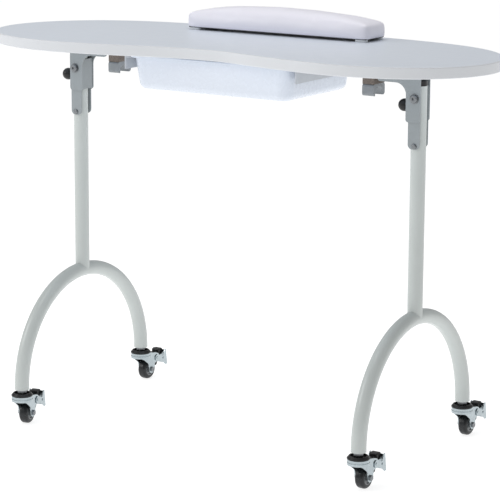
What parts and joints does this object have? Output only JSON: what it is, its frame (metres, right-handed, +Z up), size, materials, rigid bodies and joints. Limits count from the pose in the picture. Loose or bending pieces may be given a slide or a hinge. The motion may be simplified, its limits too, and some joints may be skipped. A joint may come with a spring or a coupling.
{
  "type": "folding manicure table",
  "caption": "Kidney-shaped table on two folding arched legs with locking casters, a sliding drawer and a padded wrist cushion.",
  "frame": {"origin": "middle of the footprint's box on the floor plane, under the middle of the top", "axes": "+X along the top's long side, -Y towards the concave working side with the drawer, +Z up"},
  "size_m": [1, 0.4696, 0.7582],
  "materials": {
    "white_board": "smooth white melamine",
    "white_band": "satin white plastic band",
    "white_leather": "soft white coated leather",
    "pad_board": "bare board",
    "clear_feet": "milky plastic",
    "white_plastic": "moulded, satin",
    "grey_plastic": "moulded, satin",
    "grey_steel": "pale grey powder coat, satin",
    "clip_plastic": "moulded, satin",
    "spacer_wood": "raw edge",
    "zinc": "zinc plated",
    "bright_zinc": "bright zinc plated",
    "hub_plastic": "grey moulded",
    "black_plastic": "moulded, satin",
    "black_rubber": "smooth black tread"
  },
  "bodies": {
    "table": {"tabletop_board": "white_board", "edge_band": "white_band", "wrist_cushion": "white_leather", "cushion_board": "pad_board", "cushion_feet": "clear_feet", "underside_screws": "zinc", "pivot_bolts": "zinc", "drawer_runner_left": "grey_plastic", "leg_bracket_left": "grey_steel", "storage_clip_left": "clip_plastic", "clip_spacer_left": "spacer_wood", "drawer_runner_right": "grey_plastic", "leg_bracket_right": "grey_steel", "storage_clip_right": "clip_plastic", "clip_spacer_right": "spacer_wood"},
    "drawer": {"drawer_tub": "white_plastic"},
    "leg_left": {"leg_post_left": "grey_steel", "leg_arch_left": "grey_steel", "leg_channel_left": "grey_steel", "channel_screw_left": "zinc", "post_cap_left": "black_plastic", "lock_spring_left": "zinc", "caster_stems_left": "zinc", "caster_lock_plates_left": "black_plastic"},
    "lock_left": {"lock_knob_left": "black_plastic", "lock_pin_left": "zinc"},
    "leg_right": {"leg_post_right": "grey_steel", "leg_arch_right": "grey_steel", "leg_channel_right": "grey_steel", "channel_screw_right": "zinc", "post_cap_right": "black_plastic", "lock_spring_right": "zinc", "caster_stems_right": "zinc", "caster_lock_plates_right": "black_plastic"},
    "lock_right": {"lock_knob_right": "black_plastic", "lock_pin_right": "zinc"},
    "caster_front_left": {"caster_fork_front_left": "bright_zinc", "caster_axle_front_left": "zinc"},
    "wheel_front_left": {"caster_tyre_front_left": "black_rubber", "caster_hub_front_left": "hub_plastic"},
    "brake_front_left": {"brake_lever_front_left": "bright_zinc", "brake_pedal_front_left": "black_plastic"},
    "caster_front_right": {"caster_fork_front_right": "bright_zinc", "caster_axle_front_right": "zinc"},
    "wheel_front_right": {"caster_tyre_front_right": "black_rubber", "caster_hub_front_right": "hub_plastic"},
    "brake_front_right": {"brake_lever_front_right": "bright_zinc", "brake_pedal_front_right": "black_plastic"},
    "caster_rear_left": {"caster_fork_rear_left": "bright_zinc", "caster_axle_rear_left": "zinc"},
    "wheel_rear_left": {"caster_tyre_rear_left": "black_rubber", "caster_hub_rear_left": "hub_plastic"},
    "brake_rear_left": {"brake_lever_rear_left": "bright_zinc", "brake_pedal_rear_left": "black_plastic"},
    "caster_rear_right": {"caster_fork_rear_right": "bright_zinc", "caster_axle_rear_right": "zinc"},
    "wheel_rear_right": {"caster_tyre_rear_right": "black_rubber", "caster_hub_rear_right": "hub_plastic"},
    "brake_rear_right": {"brake_lever_rear_right": "bright_zinc", "brake_pedal_rear_right": "black_plastic"}
  },
  "joints": [
    {"name": "leg_left_fold", "type": "hinge", "parent": "table", "child": "leg_left", "pos_m": [-0.355, -0.02556, 0.643], "axis": [0, -1, 0], "range_deg": [0, 75]},
    {"name": "lock_left_pull", "type": "slide", "parent": "leg_left", "child": "lock_left", "axis": [-1, 0, 0], "range_m": [0, 0.006], "stiffness_N_per_m": 400, "deforming": ["lock_spring_left"]},
    {"name": "leg_right_fold", "type": "hinge", "parent": "table", "child": "leg_right", "pos_m": [0.355, -0.02556, 0.643], "axis": [0, 1, 0], "range_deg": [0, 65]},
    {"name": "lock_right_pull", "type": "slide", "parent": "leg_right", "child": "lock_right", "axis": [-1, 0, 0], "range_m": [0, 0.006], "stiffness_N_per_m": 400, "deforming": ["lock_spring_right"]},
    {"name": "drawer_slide", "type": "slide", "parent": "table", "child": "drawer", "axis": [0, -1, 0], "range_m": [0, 0.15]},
    {"name": "swivel_front_left", "type": "hinge", "parent": "leg_left", "child": "caster_front_left", "pos_m": [-0.355, -0.21506, 0.05], "axis": [0, 0, 1], "continuous": true},
    {"name": "wheel_front_left_spin", "type": "hinge", "parent": "caster_front_left", "child": "wheel_front_left", "pos_m": [-0.3595, -0.19557, 0.02], "axis": [0.9744, 0.225, 0], "continuous": true},
    {"name": "brake_front_left_lift", "type": "hinge", "parent": "caster_front_left", "child": "brake_front_left", "pos_m": [-0.36332, -0.179, 0.04], "axis": [0.9744, 0.225, 0], "range_deg": [0, 10]},
    {"name": "swivel_front_right", "type": "hinge", "parent": "leg_right", "child": "caster_front_right", "pos_m": [0.355, -0.21506, 0.05], "axis": [0, 0, 1], "continuous": true},
    {"name": "wheel_front_right_spin", "type": "hinge", "parent": "caster_front_right", "child": "wheel_front_right", "pos_m": [0.355, -0.19506, 0.02], "axis": [1, 0, 0], "continuous": true},
    {"name": "brake_front_right_lift", "type": "hinge", "parent": "caster_front_right", "child": "brake_front_right", "pos_m": [0.355, -0.17806, 0.04], "axis": [1, 0, 0], "range_deg": [0, 10]},
    {"name": "swivel_rear_left", "type": "hinge", "parent": "leg_left", "child": "caster_rear_left", "pos_m": [-0.355, 0.16394, 0.05], "axis": [0, 0, 1], "continuous": true},
    {"name": "wheel_rear_left_spin", "type": "hinge", "parent": "caster_rear_left", "child": "wheel_rear_left", "pos_m": [-0.355, 0.18394, 0.02], "axis": [1, 0, 0], "continuous": true},
    {"name": "brake_rear_left_lift", "type": "hinge", "parent": "caster_rear_left", "child": "brake_rear_left", "pos_m": [-0.355, 0.20094, 0.04], "axis": [1, 0, 0], "range_deg": [0, 10]},
    {"name": "swivel_rear_right", "type": "hinge", "parent": "leg_right", "child": "caster_rear_right", "pos_m": [0.355, 0.16394, 0.05], "axis": [0, 0, 1], "continuous": true},
    {"name": "wheel_rear_right_spin", "type": "hinge", "parent": "caster_rear_right", "child": "wheel_rear_right", "pos_m": [0.355, 0.18394, 0.02], "axis": [1, 0, 0], "continuous": true},
    {"name": "brake_rear_right_lift", "type": "hinge", "parent": "caster_rear_right", "child": "brake_rear_right", "pos_m": [0.355, 0.20094, 0.04], "axis": [1, 0, 0], "range_deg": [0, 10]}
  ]
}
